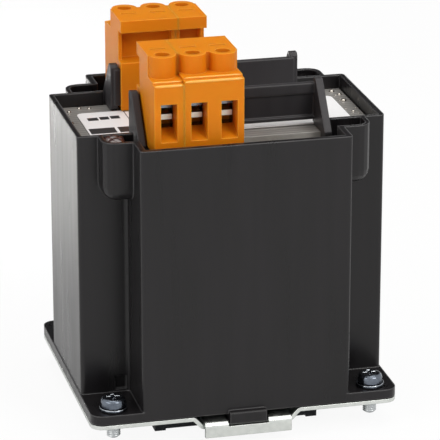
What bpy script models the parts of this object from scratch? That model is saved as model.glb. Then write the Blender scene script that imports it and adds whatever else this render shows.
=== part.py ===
# Safety transformer: laminated core and coil in an open moulded housing, screw terminals on
# top, and a galvanised base plate with a spring latch for a 35 mm rail. Metres, +Z up.
# Frame: X across the front, Y towards the back, origin at the middle of the footprint.
# Heights below are measured from the underside of the housing, then the root lifts them.

import math

import bmesh
import bpy
from mathutils import Matrix, Vector

MM = 0.001
GAP = 0.3 * MM                     # between pieces that seat on each other
REACH = 5.0 * MM                   # how far a cutter runs past what it cuts

# Laminated core, E and I stacks
CORE_HEIGHT = 80.0 * MM
CORE_STACK = 44.4 * MM
OUTER_LIMB = 16.0 * MM
CENTRE_LIMB = 32.0 * MM

# Bobbin and coil
BOBBIN_WALL = 1.2 * MM
COIL_OVERHANG = 18.3 * MM          # bobbin flange beyond the face of the core
PRIMARY_BUILD = 6.6 * MM
SECONDARY_BUILD = 5.9 * MM
WRAP_THICKNESS = 0.5 * MM
BOBBIN_CORNER = 3.0 * MM

# Housing
BOX_WALL_SIDE = 1.6 * MM
BOX_WALL_FACE = 1.4 * MM
BAY_WALL = 2.0 * MM
CORE_SIDE_PLAY = 0.4 * MM
BAY_PLAY = 0.7 * MM
FLOOR = 3.0 * MM
RIB_HEIGHT = 1.9 * MM
RIB_WIDTH = 4.0 * MM
RIM_RISE = 4.5 * MM                # above the core
EDGE_RADIUS = 1.2 * MM
FLANGE_THICKNESS = 3.0 * MM
FLANGE_OVERHANG = 0.3 * MM         # beyond the box at each side
FLANGE_CORNER = 4.0 * MM
POCKET_WIDTH = 9.4 * MM
POCKET_DEPTH = 9.1 * MM
POCKET_HEIGHT = 19.7 * MM
POCKET_WALL = 1.4 * MM
POCKET_RADIUS = 4.5 * MM
SNAP_WIDTH = 3.6 * MM
SNAP_HEIGHT = 4.4 * MM
SNAP_DEPTH = 0.7 * MM
LUG_WIDTH = 12.0 * MM
LUG_DROP = 2.7 * MM
LUG_ROOT = 1.1 * MM                # how far it rises up the front of the housing
LUG_PROUD = 2.2 * MM
LUG_LENGTH = 15.4 * MM
LUG_RADIUS = 0.8 * MM

# Base plate and rail
SHEET = 1.25 * MM
SHEET_BEND = 1.0 * MM              # inside radius of the joggle
CHANNEL_FLAT = 28.6 * MM
CHANNEL_DROP = 3.0 * MM
CHANNEL_RAMP = 2.7 * MM
RAIL_WIDTH = 35.0 * MM
RAIL_FLANGE = 1.0 * MM
RAIL_PLAY = 0.3 * MM
RAIL_CENTRE = -9.9 * MM
HOOK_DEPTH = 5.35 * MM             # under the face that the rail bears on
HOOK_LIP = 3.0 * MM
HOOK_INSIDE = 18.5 * MM
HOOK_OUTSIDE = 27.0 * MM

# Rail latch and its spring
LATCH_TRAVEL = 4.0 * MM
LATCH_PULL = 2.4 * MM              # how far it stands out of the front
LATCH_BEND = 1.6 * MM              # outside radius of the pull flange
PULL_DEPTH = 5.0 * MM
SLOT_SIDE_PLAY = 0.6 * MM
LEG_WIDTH = 4.5 * MM
LEG_INSIDE = 7.5 * MM
BAR_TIP_WIDTH = 3.6 * MM
BAR_TIP_DROP = 0.6 * MM            # the bar's ends hang below its middle
LATCH_TAIL = 2.3 * MM
SPRING_SPACE = 15.7 * MM
SPRING_DIAMETER = 2.6 * MM
SPRING_WIRE = 0.4 * MM
SPRING_TURNS = 11
SPRING_STEPS = 10                  # points in a turn

# Base screws (M4) and washers
SCREW_INSET_X = 7.9 * MM           # from the flange's side
SCREW_INSET_Y = 5.6 * MM           # from the flange's front
SCREW_SHANK = 4.0 * MM
SCREW_HEAD = 8.0 * MM
SCREW_HEAD_HEIGHT = 2.9 * MM
SCREW_TIP_DROP = 6.2 * MM
SCREW_RECESS = 4.2 * MM
RECESS_SLOT = 1.1 * MM
RECESS_DEPTH = 1.7 * MM
WASHER_DIAMETER = 9.0 * MM
WASHER_THICKNESS = 0.8 * MM

# Terminal carriers; they stand on the core, set in from its faces
CARRIER_INSET = 8.7 * MM           # inner face of the wall, in from the core's face
CARRIER_WALL = 2.2 * MM
CARRIER_GROOVE = 1.0 * MM
CARRIER_CLEAR = 2.2 * MM           # under the wall
CARRIER_HEIGHT = 12.0 * MM
CARRIER_FOOT_LIP = 1.2 * MM
CARRIER_BEAD = 3.4 * MM
POST_RISE = 1.6 * MM               # above the wall
POST_INSIDE = 28.9 * MM
POST_THICKNESS = 2.4 * MM
POST_TOP_DEPTH = 1.9 * MM
POST_FOOT_REACH = 5.8 * MM         # out from the core's face
POST_FOOT_HEIGHT = 1.4 * MM
POST_CHAMFER = 1.0 * MM
POST_LEG_DEPTH = 4.0 * MM
POST_LEG_PLAY = 1.0 * MM

# Terminals
PITCH = 9.6 * MM
TERMINAL_CENTRE_X = -13.95 * MM
MODULE_PLAY = 0.15 * MM            # each side of a module
BODY_BOTTOM_PLAY = 0.8 * MM        # above the core
BODY_DEPTH = 21.3 * MM
LEDGE_RISE = 24.0 * MM             # above the bottom of the body
LEDGE_STEP = 0.6 * MM
LEDGE_STEP_WIDTH = 2.3 * MM
SINGLE_LEDGE_DROP = 0.9 * MM
TOWER_RISE = 6.0 * MM              # above the ledge
TOWER_RADIUS = 4.2 * MM
SCREW_SETBACK = 9.3 * MM           # clamp screw's axis, in from the outer face
LIP_OVERHANG = 4.0 * MM
LIP_THICKNESS = 4.0 * MM
SKIRT_THICKNESS = 1.4 * MM         # apron that hangs over the inside of the carrier
SKIRT_CLEAR = 0.9 * MM
BACK_RECESS_RISE = 2.6 * MM        # its floor above the carrier
BACK_RECESS_DEPTH = 3.5 * MM
BACK_RECESS_WALL = 1.2 * MM
DRIVER_HOLE = 4.8 * MM
DRIVER_DEPTH = 10.7 * MM
SHELF_THICKNESS = 1.3 * MM
WINDOW_WIDTH = 5.2 * MM
WINDOW_HEIGHT = 12.2 * MM
WINDOW_SILL = 4.2 * MM             # above the bottom of the body
FUNNEL_RAMP = 3.0 * MM
TEST_SLOT_WIDTH = 5.2 * MM
TEST_SLOT_DEPTH = 3.0 * MM
TEST_SLOT_THICKNESS = 1.2 * MM
TEST_SLOT_SETBACK = 6.6 * MM       # from the clamp screw's axis
TONGUE_WIDTH = 6.0 * MM
TONGUE_REACH = 1.6 * MM
TONGUE_THICKNESS = 1.1 * MM
CATCH_HEIGHT = 1.7 * MM

# Clamp cage, clamp screw and contact bar
CAGE_WIDTH = 7.0 * MM
CAGE_DEPTH = 4.2 * MM
CAGE_SIDE = 0.8 * MM
CAGE_BOTTOM_BAR = 1.2 * MM
CAGE_TOP_PLATE = 1.8 * MM
CAGE_TRAVEL = 2.5 * MM
CLAMP_LIFT_LEFT = 0.5 * MM         # gap under the bar when the cage is fully up
CAGE_HEAD_ROOM = 1.7 * MM          # between the bar and the cage's top plate at rest
BAR_HEIGHT = 9.8 * MM              # above the bottom of the body
BAR_THICKNESS = 1.7 * MM
BAR_WIDTH = 4.6 * MM
BAR_NOSE = 0.9 * MM                # beyond the cage
SOLDER_LEG = 1.2 * MM
SOLDER_LEG_CLEAR = 0.8 * MM        # out from the core's face
SOLDER_LEG_DROP = 2.7 * MM         # below the core's top
CLAMP_SHANK = 3.0 * MM
CLAMP_HEAD = 4.1 * MM
CLAMP_HEAD_HEIGHT = 2.3 * MM
CLAMP_SLOT = 0.8 * MM
CLAMP_SLOT_DEPTH = 1.1 * MM

# Leads and label
LEAD_DIAMETER = 1.6 * MM
LEAD_NOTCH = 2.4 * MM
LEAD_INSET = 4.0 * MM              # from the edge of the bobbin's flange
LEAD_JOINT = 2.5 * MM              # soldered length on the leg
LEAD_STEPS = 10
LABEL_LEFT = 43.0 * MM
LABEL_RIGHT = 42.6 * MM
LABEL_UNDER_WALL = 1.2 * MM        # how far it goes in under the front carrier
LABEL_BACK_PLAY = 0.2 * MM
LABEL_THICKNESS = 0.2 * MM
LABEL_CORNER = 2.0 * MM

# Places that follow from the sizes above
CORE_FACE = CORE_STACK / 2
CORE_BOTTOM = FLOOR + RIB_HEIGHT + GAP
CORE_TOP = CORE_BOTTOM + CORE_HEIGHT
WINDOW_LOW = CORE_BOTTOM + OUTER_LIMB
WINDOW_HIGH = CORE_TOP - OUTER_LIMB
TUBE_HALF_X = CENTRE_LIMB / 2 + GAP + BOBBIN_WALL
COIL_HALF_X = TUBE_HALF_X + PRIMARY_BUILD + SECONDARY_BUILD + WRAP_THICKNESS + 3 * GAP
BOBBIN_HALF_X = COIL_HALF_X + GAP
WINDOW_HALF = BOBBIN_HALF_X + GAP
CORE_WIDTH = 2 * (WINDOW_HALF + OUTER_LIMB)
RIM_HEIGHT = CORE_TOP + RIM_RISE
BOX_HALF_X = CORE_WIDTH / 2 + CORE_SIDE_PLAY + BOX_WALL_SIDE
BOX_HALF_Y = CORE_FACE + GAP + BOX_WALL_FACE
BAY_INNER_X = WINDOW_HALF
BAY_HALF_X = BAY_INNER_X + BAY_WALL
BOBBIN_HALF_Y = CORE_FACE + COIL_OVERHANG
BAY_INNER_Y = BOBBIN_HALF_Y + BAY_PLAY
BAY_HALF_Y = BAY_INNER_Y + BAY_WALL
FLANGE_HALF_X = BOX_HALF_X + FLANGE_OVERHANG
PLATE_TOP = -GAP
CHANNEL_TOP = PLATE_TOP - CHANNEL_DROP
RAIL_FACE = CHANNEL_TOP - SHEET    # the rail bears here
LIP_TOP = RAIL_FACE - RAIL_FLANGE - RAIL_PLAY
LIP_BOTTOM = RAIL_FACE - HOOK_DEPTH    # the part stands on the ends of its hooks
HOOK_SPAN = RAIL_WIDTH / 2 + RAIL_PLAY
FRONT_HOOK = RAIL_CENTRE - HOOK_SPAN
REAR_HOOK = RAIL_CENTRE + HOOK_SPAN
STRIP_BOTTOM = CHANNEL_TOP + GAP
STRIP_TOP = STRIP_BOTTOM + SHEET
LATCH_FRONT = -BAY_HALF_Y - LATCH_PULL
LUG_BACK = -BAY_HALF_Y - LUG_PROUD + LUG_LENGTH
SLOT_BACK = LUG_BACK + SPRING_SPACE
SCREW_X = FLANGE_HALF_X - SCREW_INSET_X
SCREW_Y = BAY_HALF_Y - SCREW_INSET_Y
FLANGE_TOP = WINDOW_HIGH - GAP     # top of the bobbin's upper flange
CARRIER_INNER = CORE_FACE - CARRIER_INSET
CARRIER_OUTER = CARRIER_INNER + CARRIER_WALL
CARRIER_BOTTOM = CORE_TOP + CARRIER_CLEAR
CARRIER_TOP = CARRIER_BOTTOM + CARRIER_HEIGHT
POST_TOP = CARRIER_TOP + POST_RISE
BODY_INNER = CARRIER_OUTER + GAP
BODY_OUTER = BODY_INNER + BODY_DEPTH
BODY_BOTTOM = CORE_TOP + BODY_BOTTOM_PLAY
LEDGE_HEIGHT = BODY_BOTTOM + LEDGE_RISE
TOWER_TOP = LEDGE_HEIGHT + TOWER_RISE
SCREW_AXIS = BODY_OUTER - SCREW_SETBACK
LIP_REACH = BODY_INNER - LIP_OVERHANG
SHELF_TOP = TOWER_TOP - DRIVER_DEPTH
CHAMBER_TOP = SHELF_TOP - SHELF_THICKNESS
FUNNEL_OUTER_BOTTOM = BODY_BOTTOM + WINDOW_SILL
FUNNEL_INNER_BOTTOM = FUNNEL_OUTER_BOTTOM + FUNNEL_RAMP
WINDOW_TOP = FUNNEL_OUTER_BOTTOM + WINDOW_HEIGHT
BAR_BOTTOM = BODY_BOTTOM + BAR_HEIGHT
SOLDER_LEG_INNER = CORE_FACE + SOLDER_LEG_CLEAR
SOLDER_LEG_BOTTOM = CORE_TOP - SOLDER_LEG_DROP
CAGE_OPENING = CAGE_TRAVEL + CLAMP_LIFT_LEFT
CAGE_LOW = BAR_BOTTOM - CAGE_OPENING - CAGE_BOTTOM_BAR
CAGE_INNER_TOP = BAR_BOTTOM + BAR_THICKNESS + CAGE_HEAD_ROOM
CAGE_HIGH = CAGE_INNER_TOP + CAGE_TOP_PLATE
LEAD_EXIT = BOBBIN_HALF_Y - LEAD_INSET
LABEL_FRONT = CARRIER_INNER + LABEL_UNDER_WALL
LABEL_BACK = CARRIER_INNER - LABEL_BACK_PLAY
ROOT_SHIFT_Y = -(LATCH_FRONT + BAY_HALF_Y) / 2
ROOT_SHIFT_Z = -LIP_BOTTOM


def clear_scene():
    for thing in list(bpy.data.objects):
        bpy.data.objects.remove(thing, do_unlink=True)


def material(name, colour, roughness, metallic=0.0):
    """Plain Principled material; the colour is linear RGB."""
    made = bpy.data.materials.new(name)
    made.use_nodes = True
    shader = made.node_tree.nodes["Principled BSDF"]
    shader.inputs["Base Color"].default_value = (*colour, 1.0)
    shader.inputs["Roughness"].default_value = roughness
    shader.inputs["Metallic"].default_value = metallic
    return made


def object_from_mesh(name, mesh):
    made = bpy.data.objects.new(name, mesh)
    bpy.context.scene.collection.objects.link(made)
    return made


def bake(made):
    """Replace an object's mesh by what its modifiers or its curve make of it, with open ends capped."""
    bpy.context.view_layer.update()
    evaluated = made.evaluated_get(bpy.context.evaluated_depsgraph_get())
    mesh = bpy.data.meshes.new_from_object(evaluated)
    mesh.transform(made.matrix_world)
    name = made.name
    bpy.data.objects.remove(made, do_unlink=True)
    shape = bmesh.new()
    shape.from_mesh(mesh)
    bmesh.ops.remove_doubles(shape, verts=shape.verts, dist=1e-7)
    bmesh.ops.holes_fill(shape, edges=[e for e in shape.edges if e.is_boundary])
    bmesh.ops.dissolve_limit(shape, angle_limit=math.radians(0.05), verts=shape.verts, edges=shape.edges)
    bmesh.ops.recalc_face_normals(shape, faces=shape.faces)
    shape.to_mesh(mesh)
    shape.free()
    return object_from_mesh(name, mesh)


def box(x, y, z, name="box"):
    """Block between pairs of X, Y and Z values."""
    shape = bmesh.new()
    bmesh.ops.create_cube(shape, size=1.0)
    size = Vector((x[1] - x[0], y[1] - y[0], z[1] - z[0]))
    centre = Vector((x[0] + x[1], y[0] + y[1], z[0] + z[1])) / 2
    bmesh.ops.transform(shape, matrix=Matrix.Translation(centre) @ Matrix.Diagonal((*size, 1.0)), verts=shape.verts)
    mesh = bpy.data.meshes.new(name)
    shape.to_mesh(mesh)
    shape.free()
    return object_from_mesh(name, mesh)


def cylinder(radius, x, y, z, sides=16, name="cylinder"):
    """Upright round bar between two Z values."""
    shape = bmesh.new()
    bmesh.ops.create_cone(shape, cap_ends=True, segments=sides, radius1=radius, radius2=radius, depth=z[1] - z[0])
    bmesh.ops.translate(shape, vec=(x, y, (z[0] + z[1]) / 2), verts=shape.verts)
    mesh = bpy.data.meshes.new(name)
    shape.to_mesh(mesh)
    shape.free()
    return object_from_mesh(name, mesh)


def prism(outline, span, axis="Z", name="prism"):
    """Flat outline given as pairs, extruded along an axis between two values.

    The pairs are (x, y) for Z, (y, z) for X and (x, z) for Y.
    """
    curve = bpy.data.curves.new(name, "CURVE")
    curve.dimensions = "2D"
    curve.fill_mode = "NONE"
    curve.extrude = (span[1] - span[0]) / 2
    spline = curve.splines.new("POLY")
    spline.points.add(len(outline) - 1)
    for point, pair in zip(spline.points, outline):
        point.co = (*pair, 0.0, 1.0)
    spline.use_cyclic_u = True
    made = bpy.data.objects.new(name, curve)
    bpy.context.scene.collection.objects.link(made)
    lift = Matrix.Translation((0, 0, (span[0] + span[1]) / 2))
    turn = {"Z": Matrix.Identity(4),
            "X": Matrix(((0, 0, 1, 0), (1, 0, 0, 0), (0, 1, 0, 0), (0, 0, 0, 1))),
            "Y": Matrix(((1, 0, 0, 0), (0, 0, 1, 0), (0, 1, 0, 0), (0, 0, 0, 1)))}[axis]
    made.matrix_world = turn @ lift
    return bake(made)


def turned(profile, steps, name):
    """Solid of revolution about Z from (radius, z) pairs that run down the outer side."""
    mesh = bpy.data.meshes.new(name)
    mesh.from_pydata([(r, 0, z) for r, z in profile], [(i, i + 1) for i in range(len(profile) - 1)], [])
    made = object_from_mesh(name, mesh)
    screw = made.modifiers.new("Turn", "SCREW")
    screw.axis = "Z"
    screw.steps = steps
    screw.render_steps = steps
    screw.use_merge_vertices = True
    screw.merge_threshold = 0.00001
    return bake(made)


def tube(points, diameter, name, resolution=2):
    """Round wire with closed ends through the given points."""
    curve = bpy.data.curves.new(name, "CURVE")
    curve.dimensions = "3D"
    curve.bevel_depth = diameter / 2
    curve.bevel_resolution = resolution
    curve.use_fill_caps = True
    spline = curve.splines.new("POLY")
    spline.points.add(len(points) - 1)
    for point, place in zip(spline.points, points):
        point.co = (*place, 1.0)
    made = bpy.data.objects.new(name, curve)
    bpy.context.scene.collection.objects.link(made)
    return bake(made)


def combine(target, tool, operation):
    """Boolean of two objects; the tool is used up."""
    step = target.modifiers.new(operation, "BOOLEAN")
    step.operation = operation
    step.object = tool
    step.solver = "EXACT"
    result = bake(target)
    bpy.data.objects.remove(tool, do_unlink=True)
    return result


def cut(target, *tools):
    for tool in tools:
        target = combine(target, tool, "DIFFERENCE")
    return target


def join(target, *tools):
    for tool in tools:
        target = combine(target, tool, "UNION")
    return target


def rounded(corners, radius, steps=3):
    """Outline through the corners with an arc of the given radius at each.

    Radius is one value, or one for each corner; zero leaves a corner sharp.
    """
    radii = radius if isinstance(radius, (list, tuple)) else [radius] * len(corners)
    outline = []
    for i, corner in enumerate(corners):
        here = Vector(corner)
        before = (Vector(corners[i - 1]) - here).normalized()
        after = (Vector(corners[(i + 1) % len(corners)]) - here).normalized()
        if radii[i] <= 0:
            outline.append(tuple(here))
            continue
        half = before.angle(after) / 2
        centre = here + (before + after).normalized() * radii[i] / math.sin(half)
        start = here + before * radii[i] / math.tan(half) - centre
        end = here + after * radii[i] / math.tan(half) - centre
        sweep = math.atan2(start.x * end.y - start.y * end.x, start.dot(end))
        for k in range(steps + 1):
            turn = sweep * k / steps
            outline.append((centre.x + start.x * math.cos(turn) - start.y * math.sin(turn),
                            centre.y + start.x * math.sin(turn) + start.y * math.cos(turn)))
    return outline


def rectangle(half_x, half_y):
    return [(-half_x, -half_y), (half_x, -half_y), (half_x, half_y), (-half_x, half_y)]


def cross_outline(box_x, box_y, bay_x, bay_y):
    """Plan of the housing: a box with a coil bay in front and behind."""
    return [(-bay_x, -bay_y), (bay_x, -bay_y), (bay_x, -box_y), (box_x, -box_y), (box_x, box_y), (bay_x, box_y),
            (bay_x, bay_y), (-bay_x, bay_y), (-bay_x, box_y), (-box_x, box_y), (-box_x, -box_y), (-bay_x, -box_y)]


def place(made, name, parent, finish, location=(0, 0, 0), half_turn=False):
    """Name a finished piece, give it its material and hang it on the root."""
    made.name = name
    made.data.name = name
    made.data.materials.clear()
    made.data.materials.append(finish)
    made.location = location
    made.rotation_euler = (0, 0, math.pi if half_turn else 0)
    made.parent = parent
    return made


def pocket_block(side_x, side_y, inset, top):
    """Corner pocket with a rounded outer edge and bottom; inset gives its inside."""
    radius = POCKET_RADIUS - inset
    x_near = BAY_HALF_X - BAY_WALL / 2 if inset == 0 else BAY_INNER_X - REACH
    y_near = BOX_HALF_Y - BOX_WALL_FACE / 2 if inset == 0 else BOX_HALF_Y
    x_far = BAY_HALF_X + POCKET_WIDTH - inset
    y_far = BOX_HALF_Y + POCKET_DEPTH - inset
    bottom = RIM_HEIGHT - POCKET_HEIGHT + inset
    made = box(sorted((side_x * x_near, side_x * x_far)), sorted((side_y * y_near, side_y * y_far)), (bottom, top))
    shape = bmesh.new()
    shape.from_mesh(made.data)

    def outer(vert, axis):
        limit = (x_far, y_far)[axis]
        return abs(abs(vert.co[axis]) - limit) < 1e-6

    def low(vert):
        return abs(vert.co.z - bottom) < 1e-6

    edges = [e for e in shape.edges
             if (all(outer(v, 0) and outer(v, 1) for v in e.verts))
             or all(low(v) and outer(v, 0) for v in e.verts)
             or all(low(v) and outer(v, 1) for v in e.verts)]
    bmesh.ops.bevel(shape, geom=edges, offset=radius, segments=4, profile=0.5, affect="EDGES")
    shape.to_mesh(made.data)
    shape.free()
    return made


def make_housing():
    """One moulding: box, coil bays, lead pockets, floor with ribs, flange and latch lug."""
    plan = cross_outline(BOX_HALF_X, BOX_HALF_Y, BAY_HALF_X, BAY_HALF_Y)
    body = prism(rounded(plan, EDGE_RADIUS), (0, RIM_HEIGHT + REACH), name="housing")
    flange = prism(rounded(rectangle(FLANGE_HALF_X, BAY_HALF_Y), FLANGE_CORNER, 5), (0, FLANGE_THICKNESS))
    body = join(body, flange)
    for side_x in (-1, 1):
        for side_y in (-1, 1):
            body = join(body, pocket_block(side_x, side_y, 0, RIM_HEIGHT + REACH / 2))
    body = cut(body, box((-2 * BOX_HALF_X, 2 * BOX_HALF_X), (-2 * BAY_HALF_Y, 2 * BAY_HALF_Y),
                         (RIM_HEIGHT, RIM_HEIGHT + 2 * REACH)))
    inner = cross_outline(BOX_HALF_X - BOX_WALL_SIDE, BOX_HALF_Y - BOX_WALL_FACE, BAY_INNER_X, BAY_INNER_Y)
    body = cut(body, prism(inner, (FLOOR, RIM_HEIGHT + REACH)))
    for side_x in (-1, 1):
        for side_y in (-1, 1):
            body = cut(body, pocket_block(side_x, side_y, POCKET_WALL, RIM_HEIGHT + REACH))
            body = cut(body, cylinder(SCREW_SHANK / 2 + GAP, side_x * SCREW_X, side_y * SCREW_Y,
                                      (-REACH, FLANGE_THICKNESS + REACH)))
            near = BAY_HALF_X + EDGE_RADIUS
            face = BOX_HALF_Y - SNAP_DEPTH
            body = cut(body, box(sorted((side_x * near, side_x * (near + SNAP_WIDTH))),
                                 sorted((side_y * face, side_y * (face + REACH))),
                                 (FLANGE_THICKNESS + MM, FLANGE_THICKNESS + MM + SNAP_HEIGHT)))
    rib_x = CORE_WIDTH / 2 - OUTER_LIMB / 2
    for side_x in (-1, 1):
        body = join(body, box((side_x * rib_x - RIB_WIDTH / 2, side_x * rib_x + RIB_WIDTH / 2),
                              (-CORE_STACK / 2, CORE_STACK / 2), (FLOOR / 2, FLOOR + RIB_HEIGHT)))
    front = -BAY_HALF_Y - LUG_PROUD
    lug = [(front, -LUG_DROP), (LUG_BACK, -LUG_DROP), (LUG_BACK, LUG_ROOT), (front, LUG_ROOT)]
    return join(body, prism(rounded(lug, [0, 0, 0, LUG_RADIUS]), (-LUG_WIDTH / 2, LUG_WIDTH / 2), "X"))


def sheet_section():
    """Joggled section of the base plate in X and Z, one sheet thick."""
    flat = CHANNEL_FLAT / 2
    ramp_end = flat + CHANNEL_RAMP
    bend = SHEET * math.tan(math.atan2(CHANNEL_DROP, CHANNEL_RAMP) / 2)
    top = [(-FLANGE_HALF_X, PLATE_TOP), (-ramp_end, PLATE_TOP), (-flat, CHANNEL_TOP), (flat, CHANNEL_TOP),
           (ramp_end, PLATE_TOP), (FLANGE_HALF_X, PLATE_TOP)]
    bottom = [(FLANGE_HALF_X, PLATE_TOP - SHEET), (ramp_end + bend, PLATE_TOP - SHEET),
              (flat + bend, CHANNEL_TOP - SHEET), (-flat - bend, CHANNEL_TOP - SHEET),
              (-ramp_end - bend, PLATE_TOP - SHEET), (-FLANGE_HALF_X, PLATE_TOP - SHEET)]
    inner, outer = SHEET_BEND, SHEET_BEND + SHEET
    return rounded(top + bottom, [0, outer, inner, inner, outer, 0, 0, inner, outer, outer, inner, 0])


def hook_outline(side_y, face, top, bottom):
    """J-shaped sheet hook in Y and Z whose turned-up lip lies under the edge of the rail."""
    back = face + side_y * SHEET
    tip = face - side_y * HOOK_LIP
    inside = tip + side_y * SHEET
    return [(back, top), (back, bottom), (tip, bottom), (tip, LIP_TOP), (inside, LIP_TOP), (inside, bottom + SHEET),
            (face, bottom + SHEET), (face, top)]


def make_base_plate():
    """Galvanised sheet with a joggled channel and two hooks lanced out of it."""
    plate = prism(sheet_section(), (-BAY_HALF_Y, BAY_HALF_Y), "Y", "base_plate")
    blank = prism(rounded(rectangle(FLANGE_HALF_X, BAY_HALF_Y), FLANGE_CORNER, 5), (LIP_BOTTOM, REACH))
    plate = combine(plate, blank, "INTERSECT")
    tab = (PLATE_TOP - SHEET - LIP_BOTTOM) + HOOK_LIP + (LIP_TOP - LIP_BOTTOM)
    for side_x in (-1, 1):
        for side_y in (-1, 1):
            plate = cut(plate, cylinder(SCREW_SHANK / 2 + GAP, side_x * SCREW_X, side_y * SCREW_Y, (-REACH, REACH)))
        across = sorted((side_x * HOOK_INSIDE, side_x * HOOK_OUTSIDE))
        plate = cut(plate, box(across, (REAR_HOOK - tab, REAR_HOOK), (-REACH, REACH)))
        plate = join(plate, prism(hook_outline(1, REAR_HOOK, PLATE_TOP - SHEET / 2, LIP_BOTTOM), across, "X"))
        leg = sorted((side_x * (LEG_INSIDE - GAP), side_x * (LEG_INSIDE + LEG_WIDTH + GAP)))
        plate = cut(plate, box(leg, (FRONT_HOOK - SHEET - LATCH_TRAVEL - GAP, FRONT_HOOK + GAP), (-REACH, REACH)))
    return plate


def make_rail_latch():
    """Galvanised strip: rounded pull flange, and a spring slot with a turned-up seat."""
    half = CHANNEL_FLAT / 2 - GAP / 2
    back = SLOT_BACK + LATCH_TAIL
    pull_bottom = STRIP_TOP - PULL_DEPTH
    profile = [(back, STRIP_BOTTOM), (back, STRIP_TOP), (LATCH_FRONT, STRIP_TOP), (LATCH_FRONT, pull_bottom),
               (LATCH_FRONT + SHEET, pull_bottom), (LATCH_FRONT + SHEET, STRIP_BOTTOM)]
    strip = prism(rounded(profile, [0, 0, LATCH_BEND, 0, 0, LATCH_BEND - SHEET], 4), (-half, half), "X", "rail_latch")
    slot = LUG_WIDTH / 2 + SLOT_SIDE_PLAY
    strip = cut(strip, box((-slot, slot), (LATCH_FRONT - REACH, SLOT_BACK), (STRIP_TOP - LATCH_BEND, REACH)))
    return join(strip, box((-slot / 2, slot / 2), (SLOT_BACK, SLOT_BACK + SHEET), (STRIP_BOTTOM, -GAP)))


def make_hook_bar():
    """Bar of the latch: a sheet hook as wide as both fixed ones, on two legs up to the strip."""
    top = RAIL_FACE - GAP
    bar = prism(hook_outline(-1, FRONT_HOOK, top, LIP_BOTTOM + BAR_TIP_DROP), (-HOOK_OUTSIDE, HOOK_OUTSIDE), "X",
                "hook_bar")
    for side_x in (-1, 1):
        tip = sorted((side_x * (HOOK_OUTSIDE - BAR_TIP_WIDTH), side_x * HOOK_OUTSIDE))
        leg = sorted((side_x * LEG_INSIDE, side_x * (LEG_INSIDE + LEG_WIDTH)))
        bar = join(bar, prism(hook_outline(-1, FRONT_HOOK, top, LIP_BOTTOM), tip, "X"),
                   box(leg, (FRONT_HOOK - SHEET, FRONT_HOOK), (top - SHEET, STRIP_BOTTOM - GAP)))
    return bar


def make_latch_spring():
    """Compression spring between the housing's lug and the latch's seat."""
    radius = (SPRING_DIAMETER - SPRING_WIRE) / 2
    start = LUG_BACK + GAP + SPRING_WIRE / 2
    length = SPRING_SPACE - 2 * GAP - SPRING_WIRE
    height = CHANNEL_TOP / 2
    points = []
    steps = SPRING_TURNS * SPRING_STEPS
    for i in range(steps + 1):
        angle = math.tau * i / SPRING_STEPS
        points.append((radius * math.cos(angle), start + length * i / steps,
                       height + radius * math.sin(angle)))
    return tube(points, SPRING_WIRE, "latch_spring", 1)


def make_core_e():
    """E stack: bottom yoke and three limbs."""
    half = CORE_WIDTH / 2
    centre = CENTRE_LIMB / 2
    top = WINDOW_HIGH - GAP / 2
    outline = [(-half, CORE_BOTTOM), (half, CORE_BOTTOM), (half, top), (WINDOW_HALF, top), (WINDOW_HALF, WINDOW_LOW),
               (centre, WINDOW_LOW), (centre, top), (-centre, top), (-centre, WINDOW_LOW), (-WINDOW_HALF, WINDOW_LOW),
               (-WINDOW_HALF, top), (-half, top)]
    return prism(outline, (-CORE_STACK / 2, CORE_STACK / 2), "Y", "core_e_stack")


def make_core_i():
    """I stack: the yoke that closes the limbs."""
    return box((-CORE_WIDTH / 2, CORE_WIDTH / 2), (-CORE_STACK / 2, CORE_STACK / 2),
               (WINDOW_HIGH + GAP / 2, CORE_TOP), "core_i_stack")


def lead_places():
    """X of the three terminals of the front row."""
    return [TERMINAL_CENTRE_X + (i - 1) * PITCH for i in range(3)]


def make_bobbin():
    """Tube round the centre limb with a flange at each end, notched for the leads."""
    inner_x = CENTRE_LIMB / 2 + GAP
    inner_y = CORE_FACE + GAP
    low, high = WINDOW_LOW + GAP, FLANGE_TOP
    tube_wall = prism(rectangle(inner_x + BOBBIN_WALL, inner_y + BOBBIN_WALL), (low, high), name="bobbin")
    for z in (low, high - BOBBIN_WALL):
        flange = rounded(rectangle(BOBBIN_HALF_X, BOBBIN_HALF_Y), BOBBIN_CORNER)
        tube_wall = join(tube_wall, prism(flange, (z, z + BOBBIN_WALL)))
    tube_wall = cut(tube_wall, prism(rectangle(inner_x, inner_y), (low - REACH, high + REACH)))
    for side, x in [(-1, x) for x in lead_places()] + [(1, 2 * TERMINAL_CENTRE_X - x) for x in lead_places()]:
        notch = sorted((side * (LEAD_EXIT - LEAD_NOTCH / 2), side * (BOBBIN_HALF_Y + REACH)))
        tube_wall = cut(tube_wall, box((x - LEAD_NOTCH / 2, x + LEAD_NOTCH / 2), notch,
                                       (high - BOBBIN_WALL - GAP / 2, high + REACH)))
    return tube_wall


def make_winding(name, inner, build):
    """Ring of wound wire, a given distance out from the bobbin's tube."""
    half_x = TUBE_HALF_X + inner
    half_y = CORE_FACE + GAP + BOBBIN_WALL + inner
    span = (WINDOW_LOW + 2 * GAP + BOBBIN_WALL, FLANGE_TOP - BOBBIN_WALL - GAP)
    corner = GAP + inner
    ring = prism(rounded(rectangle(half_x + build, half_y + build), corner + build, 5), span, name=name)
    return cut(ring, prism(rounded(rectangle(half_x, half_y), corner, 5), (span[0] - REACH, span[1] + REACH)))


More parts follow.
